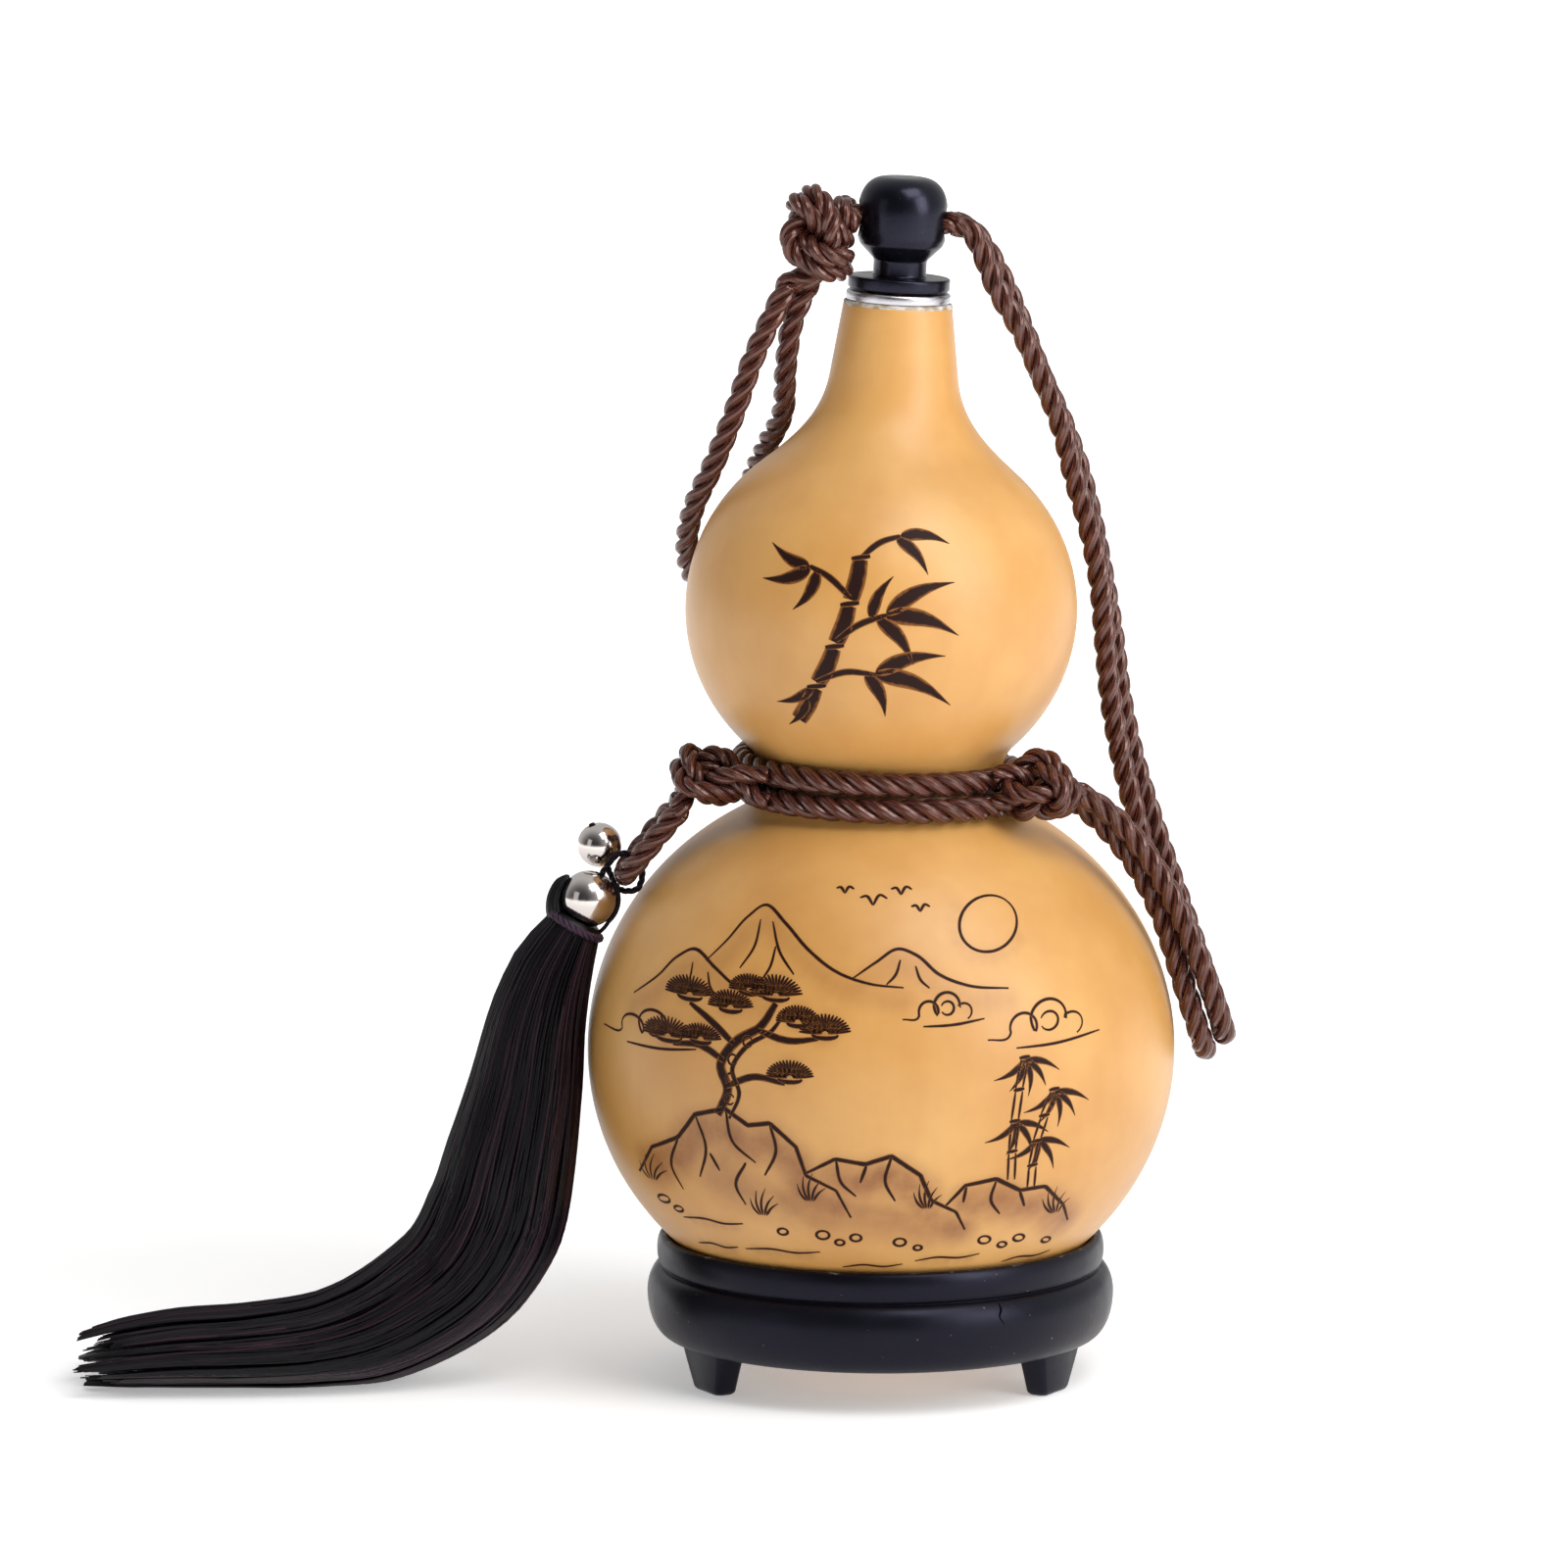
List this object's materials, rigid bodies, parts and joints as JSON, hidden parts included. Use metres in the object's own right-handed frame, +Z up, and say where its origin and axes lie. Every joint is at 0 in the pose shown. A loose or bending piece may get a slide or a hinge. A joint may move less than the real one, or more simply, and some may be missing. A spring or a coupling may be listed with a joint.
{
  "type": "gourd water bottle",
  "caption": "Double-bulb gourd bottle on a footed ring stand, with a push-in stopper, a knotted twisted carrying cord, metal beads and a long tassel.",
  "frame": {"origin": "on the ground at the centre of the stand", "axes": "+Z up, +X to the right seen from the front, +Y to the back"},
  "size_m": [0.2372, 0.12, 0.2468],
  "materials": {
    "gourd_skin": "satin lacquer over dried gourd, with burnt line decoration",
    "black_lacquer": "satin black lacquer on turned wood",
    "ferrule_metal": "bright, lightly brushed",
    "cork": "fine-grained cork",
    "cord": "three-strand twisted rayon cord, satin",
    "bead_chrome": "polished",
    "tassel_yarn": "fine rayon yarn, glossy"
  },
  "bodies": {
    "stand": {"stand_ring": "black_lacquer", "stand_foot_left": "black_lacquer", "stand_foot_right": "black_lacquer", "stand_foot_back": "black_lacquer"},
    "bottle": {"gourd_shell": "gourd_skin", "mouth_ferrule": "ferrule_metal", "strap_right_near": "cord", "strap_right_far": "cord", "strap_left_near": "cord", "strap_left_far": "cord", "waist_winding": "cord", "waist_knot_left": "cord", "waist_knot_right": "cord", "waist_knot_back": "cord", "tail_cord": "cord", "bead_string": "tassel_yarn"},
    "stopper": {"stopper_knob": "black_lacquer", "stopper_cork": "cork", "knob_cord": "cord", "knob_knot": "cord"},
    "bead_small": {"bead_small": "bead_chrome"},
    "bead_large": {"bead_large": "bead_chrome"},
    "tassel": {"tassel_head": "tassel_yarn", "tassel_binding": "tassel_yarn", "tassel_skirt": "tassel_yarn"}
  },
  "joints": [
    {"name": "gourd_lift", "type": "slide", "parent": "stand", "child": "bottle", "axis": [0, 0, 1], "range_m": [0, 0.04]},
    {"name": "stopper_pull", "type": "slide", "parent": "bottle", "child": "stopper", "axis": [0.0523, 0, 0.9986], "range_m": [0, 0.03], "deforming": ["strap_right_near", "strap_right_far", "strap_left_near", "strap_left_far"]},
    {"name": "bead_small_spin", "type": "hinge", "parent": "bottle", "child": "bead_small", "pos_m": [-0.0574, -0.0004, 0.1097], "axis": [-0.342, 0, 0.9397], "continuous": true},
    {"name": "bead_large_spin", "type": "hinge", "parent": "bottle", "child": "bead_large", "pos_m": [-0.0595, -0.006, 0.0995], "axis": [0.4664, 0, 0.8846], "continuous": true},
    {"name": "tassel_swing", "type": "hinge", "parent": "bottle", "child": "tassel", "pos_m": [-0.0595, -0.006, 0.0995], "axis": [0, 1, 0], "range_deg": [0, 50]}
  ]
}
